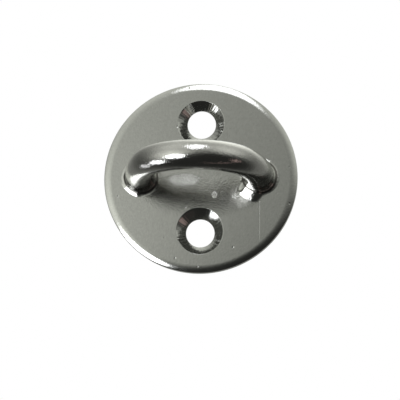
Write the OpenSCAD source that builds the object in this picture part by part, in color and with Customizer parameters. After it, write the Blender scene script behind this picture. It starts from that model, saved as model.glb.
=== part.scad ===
// Round pad eye: a bent rod welded through a disc that has two countersunk screw holes.
// The origin is the centre of the plate's back face. +Z points out of the plate,
// X runs from leg to leg and Y runs through the two screw holes. Sizes are in millimetres.

/* [Plate] */
// Diameter of the round plate
plate_d = 40; // [38:1:42]
// Thickness of the plate at its centre
plate_t = 2.5; // [2.5:0.25:4]
// Radius of the slightly domed front face
face_r = 270; // [240:10:400]
// Radius of the rounded edge at the front
rim_r = 0.5; // [0.25:0.25:1.25]
// Chamfer of the edge at the back
back_chamfer = 0.25; // [0.1:0.05:0.3]

/* [Screw holes] */
// Distance between the two hole centres, along Y
hole_pitch = 23; // [20:1:26]
// Diameter of each hole
hole_d = 6; // [5.5:0.1:6.5]
// Diameter of each countersink at the front face
sink_d = 9.8; // [8.5:0.1:9.9]
// Angle between opposite walls of each countersink
sink_angle = 90; // [90:1:100]

/* [Loop] */
// Diameter of the bent rod
rod_d = 6; // [5:0.5:6.5]
// Straight length of each leg, from the level of the plate's centre
leg_straight = 0.9; // [0.9:0.1:6]
// Radius of the slow bend that leans each leg inwards
lean_r = 34; // [28:1:44]
// Radius of the tight bend over the crown
crown_r = 10.75; // [9.5:0.125:11]

/* [Welds] */
// Size of the hollow weld fillet round each leg, at the front face
front_weld = 0.9; // [0.5:0.1:0.9]
// Thickness of a front weld at its two edges
weld_toe = 0.05; // [0.02:0.01:0.1]
// Size of the weld round each leg that is ground flush with the back face
back_weld = 1; // [0.5:0.1:1.2]

/* [Hidden] */
$fn = 96;
plate_r = plate_d / 2;
rod_r = rod_d / 2;
// How far a cutter runs past the faces that it cuts
overrun = 1;
// Centre of the rim's round, which touches the domed face where that face has tipped by rim_tip
rim_x = plate_r - rim_r;
rim_z = plate_t - face_r + sqrt(pow(face_r - rim_r, 2) - pow(rim_x, 2));
rim_tip = asin(rim_x / (face_r - rim_r));
// Each leg leans by the small angle of a 44:117:125 triangle, 20.6 degrees, before the
// crown takes over. Its sine and cosine are short decimals, so the bends meet exactly.
lean_sin = 44 / 125;
lean_cos = 117 / 125;
bend_z = plate_t + leg_straight;
crown_z = bend_z + (lean_r - crown_r) * lean_sin;
leg_x = lean_r - (lean_r - crown_r) * lean_cos;
// How far the domed face has tipped at a leg
leg_tip = asin(leg_x / face_r);

// How far the domed face falls away over a distance from where it is level
function face_drop(distance) = face_r - sqrt(pow(face_r, 2) - pow(distance, 2));
// Height of the domed face above the back face, at a distance from the plate's axis
function face_z(distance) = plate_t - face_drop(distance);

// Cutter for one screw hole with its countersink
module screw_hole() {
    flare = tan(sink_angle / 2);
    sink_z = face_z(hole_pitch / 2) - (sink_d - hole_d) / 2 / flare;
    depth = plate_t + overrun - sink_z;
    translate([0, 0, -overrun]) cylinder(h = plate_t + 2 * overrun, d = hole_d);
    translate([0, 0, sink_z]) cylinder(h = depth, d1 = hole_d, d2 = hole_d + 2 * depth * flare);
}

// Cutter for one leg, with the groove that takes its back weld
module leg_hole() {
    translate([0, 0, -overrun]) cylinder(h = plate_t + 2 * overrun, r = rod_r);
    translate([0, 0, -overrun])
        cylinder(h = back_weld + overrun, r1 = rod_r + back_weld + overrun, r2 = rod_r);
}

// Half of the plate's section, from its axis out to the rounded rim
module plate_section() {
    // A point on the line from the rim's centre through the end of the domed face
    past_face = [rim_x + 2 * rim_r * sin(rim_tip), rim_z + 2 * rim_r * cos(rim_tip)];
    polygon([[0, 0], [plate_r - back_chamfer, 0], [plate_r, back_chamfer],
             [plate_r, rim_z], [0, rim_z]]);
    intersection() {
        translate([0, plate_t - face_r]) circle(r = face_r, $fn = 2880);
        polygon([[0, rim_z], [rim_x, rim_z], past_face, [0, plate_t + overrun]]);
    }
    intersection() {
        translate([rim_x, rim_z]) circle(r = rim_r);
        polygon([[rim_x, rim_z], [plate_r + overrun, rim_z],
                 [plate_r + overrun, plate_t + overrun], past_face]);
    }
}

module base_plate() {
    color("silver")
        difference() {
            rotate_extrude() plate_section();
            for (side = [-1, 1]) {
                translate([0, side * hole_pitch / 2, 0]) screw_hole();
                translate([side * leg_x, 0, 0]) leg_hole();
            }
        }
}

// Half a turn of bent rod in the XZ plane, from +X over +Z to -X
module half_turn(bend_r) {
    rotate([90, 0, 0])
        rotate_extrude(angle = 180) translate([bend_r, 0]) circle(r = rod_r);
}

// All that lies beyond the leaning radius on which a leg's bend ends and the crown starts
module beyond_lean() {
    size = 4 * lean_r;
    multmatrix([[lean_cos, 0, -lean_sin, 0], [0, 1, 0, 0], [lean_sin, 0, lean_cos, 0]])
        translate([-size / 2, -size / 2, 0]) cube(size);
}

module leg() {
    translate([leg_x, 0, 0]) cylinder(h = bend_z, r = rod_r);
    translate([leg_x - lean_r, 0, bend_z])
        difference() {
            half_turn(lean_r);
            beyond_lean();
        }
}

module crown() {
    translate([0, 0, crown_z])
        intersection() {
            half_turn(crown_r);
            beyond_lean();
            mirror([1, 0, 0]) beyond_lean();
        }
}

module eye_loop() {
    color("gainsboro") {
        leg();
        mirror([1, 0, 0]) leg();
        crown();
    }
}

// Ring with a hollow quarter-round section, square to the domed face round one leg
module front_weld_ring(side) {
    // The ring starts a little inside the rod, which then cuts it to fit
    root_r = rod_r - front_weld / 2;
    edge_r = rod_r + front_weld;
    color("lightgray")
        translate([side * leg_x, 0, 0])
            difference() {
                translate([0, 0, face_z(leg_x)])
                    rotate([0, side * leg_tip, 0])
                        rotate_extrude()
                            difference() {
                                polygon([[root_r, -face_drop(root_r)], [edge_r, -face_drop(edge_r)],
                                         [edge_r, front_weld], [root_r, front_weld]]);
                                translate([edge_r, front_weld]) circle(r = front_weld - weld_toe);
                            }
                cylinder(h = 2 * bend_z, r = rod_r);
            }
}

// Ring with a triangular section, filling the groove in the back face round one leg
module back_weld_ring(side) {
    color("darkgray")
        translate([side * leg_x, 0, 0])
            difference() {
                cylinder(h = back_weld, r1 = rod_r + back_weld, r2 = rod_r);
                translate([0, 0, -overrun]) cylinder(h = back_weld + 2 * overrun, r = rod_r);
            }
}

base_plate();
eye_loop();
front_weld_ring(-1);  // front_weld_left
front_weld_ring(1);  // front_weld_right
back_weld_ring(-1);  // back_weld_left
back_weld_ring(1);  // back_weld_right
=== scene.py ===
"""Looks of the pad eye: a polished steel plate with a rod eye welded to it.

Every piece is a closed mesh built here in place of its CAD node, in the same frame.
The origin is the centre of the plate's back face, and +Z points out of the plate. X runs
from leg to leg and Y through the screw holes. Sizes are in millimetres until a mesh is made.
"""

from math import atan2, cos, exp, hypot, pi, radians, sin, sqrt, tan, tau

import bmesh
import bpy
from mathutils import Matrix, Vector, noise


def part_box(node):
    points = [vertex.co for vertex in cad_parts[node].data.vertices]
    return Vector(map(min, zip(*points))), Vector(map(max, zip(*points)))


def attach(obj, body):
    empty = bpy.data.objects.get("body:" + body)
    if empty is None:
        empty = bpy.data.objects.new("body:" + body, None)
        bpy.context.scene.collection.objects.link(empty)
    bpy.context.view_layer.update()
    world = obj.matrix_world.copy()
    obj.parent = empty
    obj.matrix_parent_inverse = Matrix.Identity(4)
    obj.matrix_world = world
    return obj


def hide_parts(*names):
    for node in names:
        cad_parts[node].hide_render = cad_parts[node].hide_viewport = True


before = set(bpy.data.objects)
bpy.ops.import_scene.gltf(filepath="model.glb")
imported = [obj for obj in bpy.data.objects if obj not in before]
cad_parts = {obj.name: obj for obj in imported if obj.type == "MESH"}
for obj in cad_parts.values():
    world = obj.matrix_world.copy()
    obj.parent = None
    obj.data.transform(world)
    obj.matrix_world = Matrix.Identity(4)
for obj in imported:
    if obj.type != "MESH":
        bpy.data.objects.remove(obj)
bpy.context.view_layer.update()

MM = 0.001

# Base plate: a round plate with a slightly domed front face
PLATE_LOW, PLATE_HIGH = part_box("base_plate")
PLATE_R = (PLATE_HIGH[0] - PLATE_LOW[0]) / 2 / MM
PLATE_TOP = PLATE_HIGH[2] / MM
FACE_R = 270.0
# The buffed rim: how wide it is, how it curves, and the small corner that it ends in
RIM_WIDTH = 1.6
ROLL_R = 3.5
CORNER_R = 0.18
BACK_CHAMFER = 0.25

# Countersunk screw holes: their distance from the middle along Y, and their radii
HOLE_Y = 11.5
HOLE_R = 2.95
SINK_R = 4.9
# Rounded edge of the countersink's mouth, and broken edge of the hole at the back
SINK_EDGE_R = 0.10
HOLE_BREAK = 0.07
# How far the mouth of each countersink sits outwards of its hole
SINK_SHIFT = 0.08
# Facets that the cutter leaves round the cone: how many, how deep, and how uneven
FACETS = 31
FACET_DEPTH = 0.010
FACET_UNEVEN = 0.009

# The long scratch in the face, which runs along Y
SCRATCH_X = 12.3
SCRATCH_TOP = -3.5
SCRATCH_END = -14.0

# The less polished patch of the face under and in front of the eye
PATCH_Y = -4.0
PATCH_HALF_X = 13.0
PATCH_HALF_Y = 5.5
# Scuffs that sparkle: (x, y, half width, half height, depth)
SCUFFS = (
    (-3.4, -0.6, 4.0, 1.6, 0.135),
    (3.0, -3.8, 0.6, 0.7, 0.40),
    (7.3, -4.2, 0.9, 0.7, 0.15),
)

# Rod eye: straight legs, a slow bend that leans them inwards, and a tight bend over the crown
WELD_LOW, WELD_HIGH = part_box("front_weld_right")
LEG_X = (WELD_LOW[0] + WELD_HIGH[0]) / 2 / MM
ROD_R = 3.0
ROD_UNEVEN = 0.012
LEAN_R = 34.0
LEAN = atan2(44, 117)
BEND_Z = 3.4
CROWN_R = (LEG_X - LEAN_R * (1 - cos(LEAN))) / cos(LEAN)
CROWN_Z = BEND_Z + LEAN_R * sin(LEAN) - CROWN_R * sin(LEAN)

# Front welds: height up the rod, reach over the plate, and how hollow the fillet is
WELD_RISE = 0.9
WELD_REACH = 1.1
WELD_HOLLOW = 3.2
# Long and short waves in a fillet's size: (noise scale, share of the size, seed offset)
WELD_WAVES = ((1.3, 0.08, 0.0), (4.0, 0.04, 4.0))
# Height of the lumps in a fillet
WELD_LUMP = 0.02
# How far a fillet's toe stands above the face
WELD_TOE = 0.004
# Where each fillet was built up wider: azimuth in degrees, how far behind the leg its arc is
# centred, distance of its toe from the leg's axis, slope, and half width
LEFT_BUILT = (233, 2.0, 4.12, 0.42, 2.3)
RIGHT_BUILT = (240, 1.8, 5.45, 0.40, 2.2)
# How far the built-up side runs past its half width, and over what width it fades out
BUILT_PAST = 0.4
BUILT_FADE = 1.4
# Side of the eye, built-up side and noise seed of each weld
WELDS = ((-1, LEFT_BUILT, 2.4), (1, RIGHT_BUILT, 9.1))

# Back welds: size, gap to the rod, the line that grinding leaves round them, and dips
BACK_WELD = 1.0
BEAD_GAP = 0.005
BEAD_LINE = 0.03
BEAD_DIP = 0.015


# ---------------------------------------------------------------- mesh making

# Points closer than this are one point, in metres, and edges over this angle look sharp
SAME_POINT = 1e-7
SHARP_ANGLE = 32


def add_mesh(name, skins, wrap_rows=False):
    """Makes one object from skins, each a grid of points and the number of its material."""
    mesh = bpy.data.meshes.new(name)
    shape = bmesh.new()
    for grid, slot in skins:
        add_skin(shape, grid, slot, wrap_rows)
    bmesh.ops.remove_doubles(shape, verts=shape.verts, dist=SAME_POINT)
    bmesh.ops.dissolve_degenerate(shape, edges=shape.edges, dist=SAME_POINT)
    bmesh.ops.recalc_face_normals(shape, faces=shape.faces)
    shape.to_mesh(mesh)
    shape.free()
    mesh.shade_smooth()
    mesh.set_sharp_from_angle(angle=radians(SHARP_ANGLE))
    piece = bpy.data.objects.new(name, mesh)
    bpy.context.collection.objects.link(piece)
    return piece


def add_skin(shape, grid, slot, wrap_rows):
    """Joins neighbouring closed rows of points, (x, y, z) in millimetres, with quads."""
    verts = [[shape.verts.new(Vector(point) * MM) for point in row] for row in grid]
    rows = len(verts)
    columns = len(verts[0])
    for i in range(rows if wrap_rows else rows - 1):
        low = verts[i]
        high = verts[(i + 1) % rows]
        for k in range(columns):
            following = (k + 1) % columns
            face = shape.faces.new((low[k], low[following], high[following], high[k]))
            face.material_index = slot


def ring(cx, cy, radius, z, angles):
    """A circle of points about an upright axis."""
    return [(cx + radius * cos(a), cy + radius * sin(a), z) for a in angles]


def wander(*where):
    """Smooth noise between about -1 and 1."""
    return noise.noise(Vector(where))


# ----------------------------------------------------------------- base plate

# Points along a straight side and round the arc of each quarter of the plate
EDGE_STEPS = 72
ARC_STEPS = 96
# Shares of the way from a quarter's outline in to its hole
FACE_STEPS = (0, 0.03, 0.1, 0.2, 0.3, 0.4, 0.5, 0.6, 0.7, 0.8, 0.9, 0.96, 0.99, 1)
# Steps down a countersink, over the rim's roll-off and round its corner
SINK_STEPS = 10
ROLL_STEPS = 24
CORNER_STEPS = 12
# Tilts of the rounded edge of a countersink, in degrees, from the face to the cone
SINK_EDGE_TILTS = (0, 11, 22, 34, 45)
RIM_X = PLATE_R - RIM_WIDTH
# Material numbers of the plate
FACE, SINK, BACK = range(3)


def face_z(x, y):
    """Height of the domed front face, with its buffed roll-off towards the rim."""
    dome = PLATE_TOP - FACE_R + sqrt(FACE_R**2 - x * x - y * y)
    over = max(0.0, hypot(x, y) - RIM_X)
    return dome - over**2 / (2 * ROLL_R)


def quarter(turn, radius):
    """The outline of a quarter of the plate: out from the middle, round, and back."""
    start = turn - pi / 4
    end = turn + pi / 4
    out = [(radius * k / EDGE_STEPS, start) for k in range(EDGE_STEPS)]
    arc = [(radius, start + pi / 2 * k / ARC_STEPS) for k in range(ARC_STEPS)]
    back = [(radius * (1 - k / EDGE_STEPS), end) for k in range(EDGE_STEPS)]
    return [(r * cos(a), r * sin(a)) for r, a in out + arc + back]


def between(outline, hole, shares, height):
    """Rows of points from an outline in to a ring of hole points."""
    rows = []
    for share in shares:
        row = []
        for (ox, oy), (hx, hy, _) in zip(outline, hole):
            x = ox + (hx - ox) * share
            y = oy + (hy - oy) * share
            row.append((x, y, height(x, y)))
        rows.append(row)
    return rows


def flat_back(x, y):
    """Height of the flat back face, given like face_z."""
    return 0.0


def chatter(angle, depth, seed):
    """Facets that the countersink cutter leaves round the cone, in millimetres."""
    x = cos(angle)
    y = sin(angle)
    facets = sin(FACETS * angle + 4 * wander(2 * x, 2 * y, seed))
    uneven = wander(9 * x, 9 * y, seed + 5)
    swell = wander(2.5 * x, 2.5 * y, seed + 2 + depth)
    return FACET_DEPTH * facets * (0.7 + swell) + FACET_UNEVEN * uneven


def mouth_reach(cx, cy, angle):
    """Distance from a hole's axis at which its cone meets the domed face, closed in on."""
    reach = SINK_R
    for _ in range(4):
        reach = SINK_R + face_z(cx + reach * cos(angle), cy + reach * sin(angle)) - face_z(cx, cy)
    return reach


def sink_edge(cx, cy, shift, angles):
    """Rows over the rounded edge of a countersink's mouth."""
    rows = []
    for tilt in SINK_EDGE_TILTS:
        inwards = SINK_EDGE_R * sin(radians(tilt))
        drop = SINK_EDGE_R * (1 - cos(radians(tilt)))
        row = []
        for a in angles:
            r = mouth_reach(cx, cy, a) + (SINK_EDGE_R * tan(radians(22.5)) - inwards)
            x = cx + r * cos(a)
            y = cy + shift + r * sin(a)
            row.append((x, y, face_z(x, y) - drop))
        rows.append(row)
    return rows


def sink_rows(cx, cy, angles, seed):
    """Rows down a countersink: the rounded edge, then the cone with its facets."""
    shift = SINK_SHIFT * (1 if cy > 0 else -1)
    rows = sink_edge(cx, cy, shift, angles)
    starts = [hypot(x - cx, y - shift - cy) for x, y, z in rows[-1]]
    for share in (k / SINK_STEPS for k in range(1, SINK_STEPS + 1)):
        fade = min(1, 4 * share, 6 * (1 - share))
        row = []
        for a, start in zip(angles, starts):
            r = start + (HOLE_R - start) * share
            z = face_z(cx, cy) - (SINK_R - r)
            r += chatter(a, share, seed) * fade
            row.append((cx + r * cos(a), cy + shift * (1 - share) + r * sin(a), z))
        rows.append(row)
    return rows


def screw_hole(cx, cy, angles, seed):
    """Skins of one screw hole, its mouth in the front face and its mouth in the back."""
    cone = sink_rows(cx, cy, angles, seed)
    back_edge = ring(cx, cy, HOLE_R + HOLE_BREAK, 0.0, angles)
    bore = [cone[-1], ring(cx, cy, HOLE_R, HOLE_BREAK, angles), back_edge]
    return [(cone, SINK), (bore, SINK)], cone[0], back_edge


def leg_hole(cx, cy, angles):
    """Skin of the hole for one leg, its mouth in the front face and its mouth in the back."""
    lip = [(x, y, face_z(x, y)) for x, y, z in ring(cx, cy, ROD_R, 0, angles)]
    back_edge = ring(cx, cy, ROD_R + BACK_WELD, 0.0, angles)
    return [([lip, ring(cx, cy, ROD_R, BACK_WELD, angles), back_edge], BACK)], lip, back_edge


def base_plate():
    """The whole plate: four quarters, each with its hole, inside one round rim."""
    skins = []
    for distance, turn, seed in (
        (HOLE_Y, pi / 2, 1.3),
        (LEG_X, pi, None),
        (HOLE_Y, 3 * pi / 2, 7.7),
        (LEG_X, 0, None),
    ):
        cx = distance * cos(turn)
        cy = distance * sin(turn)
        top = quarter(turn, RIM_X)
        under = quarter(turn, PLATE_R - BACK_CHAMFER)
        angles = [atan2(y - cy, x - cx) for x, y in top]
        if seed:
            hole, lip, back_edge = screw_hole(cx, cy, angles, seed)
        else:
            hole, lip, back_edge = leg_hole(cx, cy, angles)
        skins += hole
        skins.append((between(top, lip, FACE_STEPS, face_z), FACE))
        skins.append((between(under, back_edge, FACE_STEPS, flat_back), BACK))

    skins.append((rim_rows(), FACE))
    return add_mesh("plate", skins)


def rim_rows():
    """Rows down the round rim, the short upright edge and the back chamfer."""
    angles = [pi / 4 + tau * k / (4 * ARC_STEPS) for k in range(4 * ARC_STEPS)]
    rows = []
    corner_x = PLATE_R - CORNER_R
    for k in range(ROLL_STEPS + 1):
        r = RIM_X + (corner_x + 0.5 * CORNER_R - RIM_X) * k / ROLL_STEPS
        rows.append(ring(0, 0, r, face_z(r, 0), angles))
    start = atan2(face_z(corner_x, 0) - face_z(PLATE_R, 0), CORNER_R)
    corner_z = face_z(corner_x + CORNER_R * sin(start), 0) - CORNER_R * cos(start)
    for k in range(1, CORNER_STEPS + 1):
        tilt = start + (pi / 2 - start) * k / CORNER_STEPS
        point = (corner_x + CORNER_R * sin(tilt), corner_z + CORNER_R * cos(tilt))
        rows.append(ring(0, 0, *point, angles))
    rows.append(ring(0, 0, PLATE_R, BACK_CHAMFER, angles))
    rows.append(ring(0, 0, PLATE_R - BACK_CHAMFER, 0.0, angles))
    return rows


# -------------------------------------------------------------------- rod eye

ROD_SIDES = 96
# Distance between rows of points along the bends, and their heights along a straight leg
RING_GAP = 0.3
LEG_ROWS = (0.5, 1.5, 2.0, 2.5, 3.0)
# Height of the small edge round a leg's end, and shares of the radius in the end face
LEG_EDGE = 0.04
END_SHARES = (0.985, 0.6, 0.2, 0.0)
# Material numbers of the rod
ROD, CUT = range(2)


def rod_path():
    """The middle line of the rod from leg to leg: (x, z, angle of the outward side)."""
    path = [(LEG_X, z, 0.0) for z in (LEG_EDGE, *LEG_ROWS)]
    steps = int(LEAN_R * LEAN / RING_GAP)
    for k in range(steps):
        a = LEAN * k / steps
        path.append((LEG_X - LEAN_R * (1 - cos(a)), BEND_Z + LEAN_R * sin(a), a))
    steps = int(CROWN_R * (pi - 2 * LEAN) / RING_GAP)
    for k in range(steps // 2 + 1):
        a = LEAN + (pi - 2 * LEAN) * k / steps
        path.append((CROWN_R * cos(a), CROWN_Z + CROWN_R * sin(a), a))
    mirrored = [(-x, z, pi - a) for x, z, a in reversed(path)]
    if abs(path[-1][0]) < 1e-6:
        mirrored = mirrored[1:]
    return path + mirrored


def eye_loop():
    """The bent rod, with the slight unevenness that bending and polishing leave."""
    rows = []
    for x, z, a in rod_path():
        row = []
        for k in range(ROD_SIDES):
            turn = tau * k / ROD_SIDES
            side = cos(turn)
            across = sin(turn)
            r = ROD_R + ROD_UNEVEN * wander(0.35 * x + side, across, 0.35 * z)
            row.append((x + r * side * cos(a), r * across, z + r * side * sin(a)))
        rows.append(row)
    return add_mesh("rod_eye", [
        (rows, ROD),
        (leg_end(LEG_X, rows[0]), CUT),
        (leg_end(-LEG_X, rows[-1]), CUT),
    ])


def leg_end(x, edge):
    """Rows over the flat end of a leg, from its edge in to its middle."""
    face = [[(x + (px - x) * share, py * share, 0.0) for px, py, pz in edge]
            for share in END_SHARES]
    return [edge] + face


# ---------------------------------------------------------------------- welds

WELD_SIDES = 120
FILLET_STEPS = 30
# How rows crowd towards the rod over a fillet, and how deep a fillet's inside lies
FILLET_CROWDING = 1.3
TOE_DEPTH = 0.05
# Step in which the reach of a built-up side is found
BUILT_STEP = 0.02
# Shares of the way across a back weld
BEAD_SHARES = (0.08, 0.2, 0.4, 0.6, 0.8, 0.92)


def front_weld(side, built, seed):
    """The dressed fillet round one leg, closed inside the plate and the rod."""
    cx = side * LEG_X
    angles = [tau * k / WELD_SIDES for k in range(WELD_SIDES)]
    sizes = [weld_size(a, seed) for a in angles]
    reaches = [max(WELD_REACH * size, built_reach(a, built)) for a, size in zip(angles, sizes)]
    rows = []
    for k in range(FILLET_STEPS + 1):
        out = (1 - k / FILLET_STEPS) ** FILLET_CROWDING
        row = []
        for a, size, reach in zip(angles, sizes, reaches):
            r = ROD_R + reach * out
            x = cx + r * cos(a)
            y = r * sin(a)
            lump = WELD_LUMP * wander(2 * x, 2 * y, seed) * min(1, 4 * out * (1 - out))
            rise = size * weld_rise(min(1, reach * out / (WELD_REACH * size)))
            rise = max(rise, built_rise(r * cos(a), r * sin(a), *built))
            row.append((x, y, face_z(x, y) + rise + lump + WELD_TOE))
        rows.append(row)
    top = face_z(cx, 0) + WELD_RISE
    rows.append(ring(cx, 0, ROD_R - TOE_DEPTH, top, angles))
    rows.append(ring(cx, 0, ROD_R - TOE_DEPTH, face_z(cx, 0) - 2 * TOE_DEPTH, angles))
    rows.append([(x, y, z - 3 * TOE_DEPTH) for x, y, z in rows[0]])
    return add_mesh("fillet_" + name_of(side), [(rows, 0)], wrap_rows=True)


def weld_size(angle, seed):
    """Size of a fillet at an angle round the leg, as a share of its plain size."""
    size = 1
    for scale, share, offset in WELD_WAVES:
        size += share * wander(scale * cos(angle), scale * sin(angle), seed + offset)
    return size


def weld_rise(out):
    """Height of the fillet at a share of its reach: steep at the rod, with a long toe."""
    toe = exp(-WELD_HOLLOW)
    return WELD_RISE * (exp(-WELD_HOLLOW * out) - toe) / (1 - toe)


def built_rise(dx, dy, azimuth, back, toe, slope, half_width):
    """Height of the side of a fillet that was built up wider, with one even slope."""
    a = radians(azimuth)
    forward = dx * cos(a) + dy * sin(a)
    across = dy * cos(a) - dx * sin(a)
    far = hypot(forward + back, across)
    edge = min(1.0, max(0.0, (half_width + BUILT_PAST - abs(across)) / BUILT_FADE))
    edge = edge * edge * (3 - 2 * edge)
    return max(0.0, slope * (toe + back - far)) * edge * (forward > 0)


def built_reach(angle, built):
    """How far from the rod the built-up side reaches at an angle round the leg."""
    reach = 0.0
    while built_rise((ROD_R + reach) * cos(angle), (ROD_R + reach) * sin(angle), *built) > 0:
        reach += BUILT_STEP
    return reach


def back_weld(side, seed):
    """The weld behind one leg, filling its bevel and ground level with the back."""
    cx = side * LEG_X
    angles = [tau * k / WELD_SIDES for k in range(WELD_SIDES)]
    rows = [ring(cx, 0, ROD_R + BEAD_GAP, BACK_WELD - 2 * BEAD_GAP, angles)]
    rows.append(ring(cx, 0, ROD_R + BEAD_GAP, BEAD_LINE, angles))
    for share in BEAD_SHARES:
        r = ROD_R + (BACK_WELD - BEAD_LINE) * share
        row = []
        for a in angles:
            dip = BEAD_DIP * abs(wander(3 * cos(a), 3 * sin(a), seed + 2 * share))
            row.append((cx + r * cos(a), r * sin(a), dip))
        rows.append(row)
    rows.append(ring(cx, 0, ROD_R + BACK_WELD - BEAD_LINE, BEAD_LINE, angles))
    return add_mesh("ground_bead_" + name_of(side), [(rows, 0)], wrap_rows=True)


def name_of(side):
    """Word for a side of the eye, -1 or 1."""
    return "right" if side > 0 else "left"


# ------------------------------------------------------------------ materials

STEEL = (0.612, 0.618, 0.590)
WARM_STEEL = (0.618, 0.616, 0.592)
# Dark grey of the painted shade: in pits, inside the eye and in a line round each leg's weld
PAINTED_SHADE_COLOUR = (0.10, 0.095, 0.085)
# How much the steel's colour varies, either way
CLOUD = 0.16
# Noise scales, per metre: cloudy colour, uneven polish, then coarse and fine grain
CLOUD_SCALE = 1500
WAVE_SCALE = 700
GRAIN_SCALE = 2600
FINE_SCALE = 5200
# Height of the fine grain as a share of the coarse grain's
FINE_SHARE = 0.2

# Scales are per metre, and depths and widths in millimetres.
# Pin pricks, and the faint lines that polishing leaves
PIT_SCALE = 420
PIT_DEPTH = 0.06
LINE_SCALE = 3000
LINE_DEPTH = 0.0015
# The rougher inner side of the rod, also darkened with painted shade: how far in from the crown's
# radius it is full and it ends
DULL_FULL = 2.4
DULL_END = 0.6
# How strongly painted shade darkens the inner side; a tenth of it is added to the roughness there
INSIDE_SHADE_AND_DULL = 0.5
# Grain of the less polished patch and of its scuffs
PATCH_SCALE = 3400
PATCH_DEPTH = 0.028
SCUFF_SCALE = 4200
# The scratch: half width of its floor and of its whole, depth, wobble and roughness
SCRATCH_FLOOR = 0.03
SCRATCH_HALF = 0.09
SCRATCH_DEPTH = 0.012
SCRATCH_WOBBLE = 0.15
SCRATCH_ROUGH = 0.30
# Streaks down a countersink
STREAKS_PER_RADIAN = 9.0
STREAK_DEPTH = 0.038
# A line of painted shade round each leg on its weld: radius, half width when full and in all
WELD_LINE_R = 3.45
WELD_LINE_FULL = 0.10
WELD_LINE_HALF = 0.28
# How dark the painted shade line is at its darkest
WELD_SHADE_DARKNESS = 0.9
# Grinding lines across the back
GRIND_SCALE = 9000
GRIND_DEPTH = 0.006


class Nodes:
    """Short calls for making and joining shader nodes in one tree."""

    def __init__(self, tree):
        self.tree = tree

    def add(self, kind, inputs=(), **settings):
        """Makes a node, sets its settings and feeds its inputs."""
        node = self.tree.nodes.new(kind)
        for name, value in settings.items():
            setattr(node, name, value)
        for name, value in dict(inputs).items():
            self.feed(node, name, value)
        return node

    def feed(self, node, name, value):
        """Links an input to a socket, or sets it to a value."""
        socket = node.inputs[name]
        if isinstance(value, bpy.types.NodeSocket):
            self.tree.links.new(value, socket)
        else:
            socket.default_value = value

    def math(self, operation, a, b=0.0):
        """The result of one operation on two values."""
        return self.add("ShaderNodeMath", {0: a, 1: b}, operation=operation).outputs[0]

    def sum(self, values):
        """All the values added up."""
        total = values[0]
        for value in values[1:]:
            total = self.math("ADD", total, value)
        return total

    def ellipse(self, u, v):
        """The sum of the squares of two values."""
        return self.math("ADD", self.math("POWER", u, 2.0), self.math("POWER", v, 2.0))

    def noise(self, where, scale, detail=2.0, roughness=0.5):
        """Smooth noise from 0 to 1."""
        inputs = {"Vector": where, "Scale": scale, "Detail": detail, "Roughness": roughness}
        return self.add("ShaderNodeTexNoise", inputs).outputs["Fac"]

    def centred(self, where, scale, detail=2.0, roughness=0.5):
        """Smooth noise about 0."""
        return self.math("SUBTRACT", self.noise(where, scale, detail, roughness), 0.5)

    def remap(self, value, low, high, new_low, new_high, smooth=False):
        """A value carried from one range to another, and held at its ends."""
        inputs = {"Value": value, "From Min": low, "From Max": high}
        inputs.update({"To Min": new_low, "To Max": new_high})
        kind = "SMOOTHSTEP" if smooth else "LINEAR"
        return self.add("ShaderNodeMapRange", inputs, interpolation_type=kind).outputs["Result"]

    def blend(self, factor, first, second):
        """A colour between two colours."""
        node = self.add("ShaderNodeMix", data_type="RGBA")
        for name, value in (("Factor", factor), ("A", first), ("B", second)):
            if not isinstance(value, (bpy.types.NodeSocket, float)):
                value = (*value, 1)
            self.feed(node, name, value)
        return node.outputs["Result"]

    def stretch(self, where, scale):
        """A place scaled along each axis."""
        return self.add("ShaderNodeMapping", {"Vector": where, "Scale": scale}).outputs["Vector"]

    def bump(self, height, distance, normal=None):
        """A normal tipped by a height, whose range of 1 is worth a distance in metres."""
        inputs = {"Height": height, "Distance": distance, "Strength": 1.0}
        node = self.add("ShaderNodeBump", inputs)
        if normal is not None:
            self.feed(node, "Normal", normal)
        return node.outputs["Normal"]


def steel(name, tint, marks, roughness, spread, peel, grain):
    """Stainless steel: soft waves, fine grain, its own marks and their painted shade under one
    metal shader.

    The roughness varies by its spread, and peel and grain are bump heights in millimetres.
    """
    material = bpy.data.materials.new(name)
    material.use_nodes = True
    tree = material.node_tree
    shader = tree.nodes["Principled BSDF"]
    n = Nodes(tree)
    where = n.add("ShaderNodeTexCoord").outputs["Object"]
    shader.inputs["Metallic"].default_value = 1.0

    cloud = n.noise(where, CLOUD_SCALE, 4.0, 0.8)
    dark = [(1 - CLOUD) * c for c in tint]
    light = [(1 + CLOUD) * c for c in tint]
    colour = n.blend(cloud, dark, light)

    wave = n.noise(where, WAVE_SCALE, 4.0)
    rough = n.remap(wave, 0.3, 0.7, roughness - spread, roughness + spread)
    normal = n.bump(n.noise(where, WAVE_SCALE), peel * MM)
    normal = n.bump(n.noise(where, GRAIN_SCALE, 1.0), grain * MM, normal)
    normal = n.bump(n.noise(where, FINE_SCALE, 1.0), FINE_SHARE * grain * MM, normal)
    rough, normal, painted_shade = marks(n, where, rough, normal)
    # Painted shade darkens the base colour towards that dark grey wherever the marks ask for it
    n.feed(shader, "Base Color", n.blend(painted_shade, colour, PAINTED_SHADE_COLOUR))
    n.feed(shader, "Roughness", rough)
    n.feed(shader, "Normal", normal)
    return material


# Each function of marks takes the node helper, the place on the object, the roughness and
# the normal, and gives back the roughness, the normal and how much painted shade darkens the steel.


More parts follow.
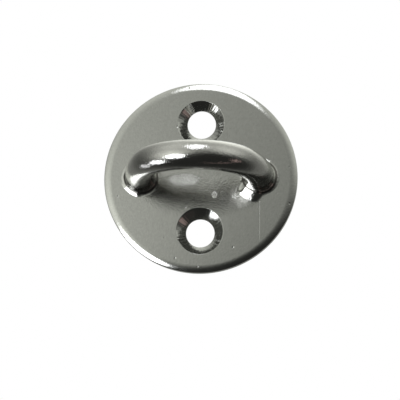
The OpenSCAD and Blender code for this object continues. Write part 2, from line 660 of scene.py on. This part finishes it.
def polish_marks(n, where, rough, normal):
    """Pin pricks, darkened in the middle with painted shade, and faint upright polishing lines in a
    polished face.
    """
    cells = n.add("ShaderNodeTexVoronoi", {"Vector": where, "Scale": PIT_SCALE})
    near = n.remap(cells.outputs["Distance"], 0.03, 0.12, 1.0, 0.0, smooth=True)
    pick = n.add("ShaderNodeSeparateColor", {"Color": cells.outputs["Color"]}).outputs[0]
    rare = n.remap(pick, 0.62, 0.95, 0.0, 1.0)
    pits = n.math("MULTIPLY", near, rare)
    normal = n.bump(n.math("MULTIPLY", pits, -1.0), PIT_DEPTH * MM, normal)
    lines = n.noise(n.stretch(where, (1.0, 0.03, 1.0)), LINE_SCALE, 2.0, 0.6)
    normal = n.bump(lines, LINE_DEPTH * MM, normal)
    rough = n.math("ADD", rough, n.math("MULTIPLY", pits, 0.15))
    # Painted shade darkens the middle of each pit
    return rough, normal, n.math("MULTIPLY", pits, 0.2)


def rod_marks_and_inside_shade(n, where, rough, normal):
    """Marks of the rod, rougher inside the eye where polish hardly reaches, and darkened there with
    painted shade.
    """
    rough, normal, painted_shade = polish_marks(n, where, rough, normal)
    place = n.add("ShaderNodeSeparateXYZ", {"Vector": where}).outputs
    above = n.math("MAXIMUM", n.math("SUBTRACT", place[2], CROWN_Z * MM), 0.0)
    uneven = n.math("MULTIPLY", n.centred(where, 500), 1.5 * MM)
    out = n.math("ADD", n.math("SQRT", n.ellipse(place[0], above)), uneven)
    inner = (CROWN_R - DULL_FULL) * MM
    outer = (CROWN_R - DULL_END) * MM
    # Painted shade darkens the inside of the eye, between the rod and the plate
    inside = n.remap(out, inner, outer, INSIDE_SHADE_AND_DULL, 0.0, smooth=True)
    rough = n.math("ADD", rough, n.math("MULTIPLY", inside, 0.1))
    return rough, normal, n.math("MAXIMUM", painted_shade, inside)


def face_marks(n, where, rough, normal):
    """All the marks in the plate's face: polish, the dull patch and the scratch."""
    rough, normal, painted_shade = polish_marks(n, where, rough, normal)
    place = n.add("ShaderNodeSeparateXYZ", {"Vector": where}).outputs
    normal = dull_patch(n, where, place, normal)
    rough, normal = long_scratch(n, where, place, rough, normal)
    return rough, normal, painted_shade


def dull_patch(n, where, place, normal):
    """Grainier steel under the eye, where a buffing wheel cannot reach, and its scuffs."""
    patch = oval(n, place, 0.0, PATCH_Y, PATCH_HALF_X, PATCH_HALF_Y, 0.5)
    coarse = n.centred(where, PATCH_SCALE, 2.0, 0.7)
    normal = n.bump(n.math("MULTIPLY", coarse, patch), PATCH_DEPTH * MM, normal)
    coarse = n.centred(where, SCUFF_SCALE, 2.0, 0.7)
    for x, y, half_x, half_y, depth in SCUFFS:
        spot = oval(n, place, x, y, half_x, half_y, 0.0)
        normal = n.bump(n.math("MULTIPLY", coarse, spot), depth * MM, normal)
    return normal


def oval(n, place, x, y, half_x, half_y, full):
    """1 in the middle of an oval in the face and 0 outside it, fading past a full part."""
    u = n.math("DIVIDE", n.math("SUBTRACT", place[0], x * MM), half_x * MM)
    v = n.math("DIVIDE", n.math("SUBTRACT", place[1], y * MM), half_y * MM)
    return n.remap(n.ellipse(u, v), full, 1.3, 1.0, 0.0, smooth=True)


def long_scratch(n, where, place, rough, normal):
    """The one long hairline that runs down the face from the right-hand weld."""
    wobble = n.math("MULTIPLY", n.centred(where, 120), SCRATCH_WOBBLE * MM)
    off = n.math("ABSOLUTE", n.math("SUBTRACT", n.math("ADD", place[0], wobble), SCRATCH_X * MM))
    line = n.remap(off, SCRATCH_FLOOR * MM, SCRATCH_HALF * MM, 1.0, 0.0)
    upper = n.remap(place[1], SCRATCH_TOP * MM, (SCRATCH_TOP - 1) * MM, 0.0, 1.0)
    lower = n.remap(place[1], SCRATCH_END * MM, (SCRATCH_END + 2) * MM, 0.0, 1.0)
    line = n.math("MULTIPLY", line, n.math("MULTIPLY", upper, lower))
    normal = n.bump(n.math("MULTIPLY", line, -1.0), SCRATCH_DEPTH * MM, normal)
    rough = n.math("ADD", rough, n.math("MULTIPLY", line, SCRATCH_ROUGH))
    return rough, normal


def turned_marks(n, where, rough, normal):
    """Narrow streaks down the cone that a chattering cutter leaves in a countersink."""
    place = n.add("ShaderNodeSeparateXYZ", {"Vector": where}).outputs
    across = n.math("SUBTRACT", n.math("ABSOLUTE", place[1]), HOLE_Y * MM)
    turn = n.math("ARCTAN2", across, place[0])
    # The upper hole's streaks are taken from another stretch of the same noise
    upper = n.math("MULTIPLY", n.math("GREATER_THAN", place[1], 0.0), 40.0)
    count = n.math("ADD", n.math("MULTIPLY", turn, STREAKS_PER_RADIAN), upper)
    inputs = {"W": count, "Scale": 1.0, "Detail": 2.0, "Roughness": 0.5}
    streaks = n.add("ShaderNodeTexNoise", inputs, noise_dimensions="1D").outputs["Fac"]
    normal = n.bump(streaks, STREAK_DEPTH * MM, normal)
    return rough, normal, 0.0


def weld_shade_line(n, where, rough, normal):
    """A line of painted shade on the weld close to the rod, which is a little rougher there too."""
    place = n.add("ShaderNodeSeparateXYZ", {"Vector": where}).outputs
    across = n.math("SUBTRACT", n.math("ABSOLUTE", place[0]), LEG_X * MM)
    out = n.math("SQRT", n.ellipse(across, place[1]))
    uneven = n.math("MULTIPLY", n.centred(where, 600), 0.5 * MM)
    off = n.math("SUBTRACT", n.math("ADD", out, uneven), WELD_LINE_R * MM)
    off = n.math("ABSOLUTE", off)
    full = WELD_LINE_FULL * MM
    half = WELD_LINE_HALF * MM
    # Painted shade: a dark line round the leg where the fillet meets the rod
    painted_shade = n.remap(off, full, half, WELD_SHADE_DARKNESS, 0.0, smooth=True)
    rough = n.math("ADD", rough, n.math("MULTIPLY", painted_shade, 0.15))
    return rough, normal, painted_shade


def brushed_marks(n, where, rough, normal):
    """Straight grinding lines across the back."""
    lines = n.noise(n.stretch(where, (0.04, 1.0, 1.0)), GRIND_SCALE, 3.0, 0.7)
    normal = n.bump(lines, GRIND_DEPTH * MM, normal)
    rough = n.math("ADD", rough, n.remap(lines, 0.3, 0.7, -0.05, 0.08))
    return rough, normal, 0.0


# ------------------------------------------------------------- light and floor


def direction(azimuth, polar):
    """Unit vector at an azimuth from +X and a polar angle from +Z, in degrees."""
    a = radians(azimuth)
    p = radians(polar)
    return Vector((cos(a) * sin(p), sin(a) * sin(p), cos(p)))


# (azimuth, polar angle, sharpness, brightness) of each broad soft glow of the room
GLOWS = (
    (35, 68, 4.8, 0.68),
    (170, 20, 8.2, 0.24),
    (190, 46, 7.0, 0.78),
    (118, 70, 4.8, 0.62),
    (80, 127, 8.0, 1.15),
    (0, 180, 2.5, 0.25),
)
GLOW_TINT = (1.0, 1.015, 0.945)
# (azimuth, polar angle, half width, half height, brightness) of each soft box
SOFTBOXES = (
    (87, 49, 0.24, 0.32, 1.9),
    (215, 42, 0.24, 0.27, 4.0),
    (219, 86, 0.21, 0.20, 2.8),
    (214, 112, 0.17, 0.11, 1.1),
)
SOFTBOX_TINT = (0.99, 1.0, 1.04)
# The same for two dim reddish things that the steel mirrors in the dark corner
STREAKS = (
    (333, 82, 0.15, 0.13, 0.26),
    (300, 84, 0.40, 0.06, 0.10),
)
STREAK_TINT = (1.0, 0.72, 0.68)
# Shares of a soft box's size between which its edge fades
BOX_FADE = (0.78, 1.22)
# Brightness of the room where nothing lights it
DARK_ROOM = 0.022
# The dark corner of the room behind the camera: azimuth, polar angle, reach, depth
DARK_CORNER = (291, 70, 62, 0.95)
DARK_CORNER_EDGE = 20
WHITE = (1, 1, 1, 1)


def studio():
    """A dim room with soft glows and soft boxes; the camera itself sees plain white."""
    world = bpy.data.worlds.new("studio")
    bpy.context.scene.world = world
    world.use_nodes = True
    tree = world.node_tree
    tree.nodes.clear()
    n = Nodes(tree)
    look = n.add("ShaderNodeTexCoord").outputs["Generated"]
    glows = n.sum([glow(n, look, *light) for light in GLOWS])
    glows = n.math("MULTIPLY", glows, dark_corner(n, look))
    boxes = n.sum([softbox(n, look, *light) for light in SOFTBOXES])
    streaks = n.sum([softbox(n, look, *light) for light in STREAKS])
    room = background(n, GLOW_TINT, n.math("ADD", glows, DARK_ROOM))
    for tint, strength in ((SOFTBOX_TINT, boxes), (STREAK_TINT, streaks)):
        lights = background(n, tint, strength)
        room = n.add("ShaderNodeAddShader", {0: room, 1: lights}).outputs[0]
    white = n.add("ShaderNodeBackground", {"Color": WHITE, "Strength": 1.0}).outputs[0]
    seen = n.add("ShaderNodeLightPath").outputs["Is Camera Ray"]
    mix = n.add("ShaderNodeMixShader", {0: seen, 1: room, 2: white})
    n.add("ShaderNodeOutputWorld", {"Surface": mix.outputs[0]})


def background(n, tint, strength):
    """Light of one tint from all round, with a strength that varies with direction."""
    inputs = {"Color": (*tint, 1), "Strength": strength}
    return n.add("ShaderNodeBackground", inputs).outputs[0]


def along(n, look, axis):
    """How far the looked-at direction points along an axis."""
    inputs = {0: look, 1: axis}
    return n.add("ShaderNodeVectorMath", inputs, operation="DOT_PRODUCT").outputs["Value"]


def glow(n, look, azimuth, polar, sharpness, brightness):
    """A broad glow, falling off smoothly round its middle."""
    facing = along(n, look, direction(azimuth, polar))
    fall = n.math("MULTIPLY", n.math("SUBTRACT", facing, 1.0), sharpness)
    return n.math("MULTIPLY", n.math("EXPONENT", fall), brightness)


def softbox(n, look, azimuth, polar, width, height, brightness):
    """An oval soft box, fading over its edge."""
    facing = along(n, look, direction(azimuth, polar))
    level = along(n, look, direction(azimuth + 90, 90))
    upright = along(n, look, direction(azimuth, polar + 90))
    u = n.math("DIVIDE", level, width)
    v = n.math("DIVIDE", upright, height)
    reach = n.math("SQRT", n.ellipse(u, v))
    shape = n.remap(reach, *BOX_FADE, brightness, 0.0, smooth=True)
    return n.math("MULTIPLY", shape, n.math("GREATER_THAN", facing, 0.0))


def dark_corner(n, look):
    """How much of the room's glow is left: all of it, or little in the dark corner."""
    azimuth, polar, reach, depth = DARK_CORNER
    facing = along(n, look, direction(azimuth, polar))
    outer = cos(radians(reach + DARK_CORNER_EDGE))
    inner = cos(radians(reach - DARK_CORNER_EDGE))
    return n.remap(facing, outer, inner, 1.0, 1.0 - depth, smooth=True)


# Half the floor's side, and how far it lies below the part, in metres
FLOOR_HALF = 3.0
FLOOR_DROP = 0.0002


def floor():
    """A plain white floor that shows from above only."""
    mesh = bpy.data.meshes.new("floor")
    corners = [(x * FLOOR_HALF, y * FLOOR_HALF, 0) for x, y in ((-1, -1), (1, -1), (1, 1), (-1, 1))]
    mesh.from_pydata(corners, [], [(0, 1, 2, 3)])
    sheet = bpy.data.objects.new("floor", mesh)
    bpy.context.collection.objects.link(sheet)
    sheet.location.z = -FLOOR_DROP
    sheet.visible_glossy = False
    material = bpy.data.materials.new("floor_white")
    material.use_nodes = True
    tree = material.node_tree
    tree.nodes.clear()
    n = Nodes(tree)
    white = n.add("ShaderNodeEmission", {"Color": WHITE, "Strength": 1.0})
    clear = n.add("ShaderNodeBsdfTransparent")
    under = n.add("ShaderNodeNewGeometry").outputs["Backfacing"]
    mix = n.add("ShaderNodeMixShader", {0: under, 1: white.outputs[0], 2: clear.outputs[0]})
    n.add("ShaderNodeOutputMaterial", {"Surface": mix.outputs[0]})
    mesh.materials.append(material)


# --------------------------------------------------------------------- camera

# The point looked at and the camera's distance from it, then angles in degrees
AIM = Vector((-0.18, -4.38, 0.0)) * MM
CAMERA_DISTANCE = 699.0 * MM
CAMERA_AZIMUTH = -70.37
CAMERA_ELEVATION = 76.56
CAMERA_ROLL = -19.34
# Focal length and sensor width, in millimetres, and the nearest thing seen, in metres
LENS = 304.5
SENSOR = 36.0
CLIP_START = 0.01


def camera():
    """Looks down on the plate from the front right through a long lens."""
    back = direction(CAMERA_AZIMUTH, 90 - CAMERA_ELEVATION)
    level = Vector((0, 0, 1)).cross(back).normalized()
    upright = back.cross(level)
    roll = radians(CAMERA_ROLL)
    right = level * cos(roll) + upright * sin(roll)
    up = back.cross(right)
    data = bpy.data.cameras.new("camera")
    data.lens = LENS
    data.sensor_width = SENSOR
    data.clip_start = CLIP_START
    eye = bpy.data.objects.new("camera", data)
    turn = Matrix((right, up, back)).transposed().to_4x4()
    eye.matrix_world = Matrix.Translation(AIM + back * CAMERA_DISTANCE) @ turn
    bpy.context.collection.objects.link(eye)
    bpy.context.scene.camera = eye


# ------------------------------------------------------------------- assembly


def dress(piece, node, slot, *materials):
    """Gives a piece its materials and puts it in the place of its CAD node."""
    for material in materials:
        piece.data.materials.append(material)
    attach(piece, "root")
    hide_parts(node)


# Name, tint, marks, roughness, its spread, height of the waves and of the grain
STEELS = (
    ("polished_face", STEEL, face_marks, 0.105, 0.03, 0.006, 0.008),
    ("turned_sink", STEEL, turned_marks, 0.10, 0.03, 0.002, 0.004),
    ("brushed_back", STEEL, brushed_marks, 0.30, 0.04, 0.002, 0.001),
    ("polished_rod", WARM_STEEL, rod_marks_and_inside_shade, 0.10, 0.03, 0.02, 0.034),
    ("polished_weld", STEEL, weld_shade_line, 0.09, 0.03, 0.01, 0.02),
    ("ground_weld", WARM_STEEL, brushed_marks, 0.33, 0.05, 0.003, 0.003),
)


def main():
    """Sets up the view and the light, then builds and dresses each piece."""
    camera()
    studio()
    floor()
    bpy.context.scene.view_settings.view_transform = "Standard"

    face, sink, back, rod, bead, ground = [steel(*finish) for finish in STEELS]
    dress(base_plate(), "base_plate", "polished_plate", face, sink, back)
    dress(eye_loop(), "eye_loop", "polished_rod", rod, ground)
    for side, built, seed in WELDS:
        word = name_of(side)
        fillet = front_weld(side, built, seed)
        dress(fillet, "front_weld_" + word, "polished_weld", bead)
        dress(back_weld(side, seed), "back_weld_" + word, "ground_weld", ground)


main()
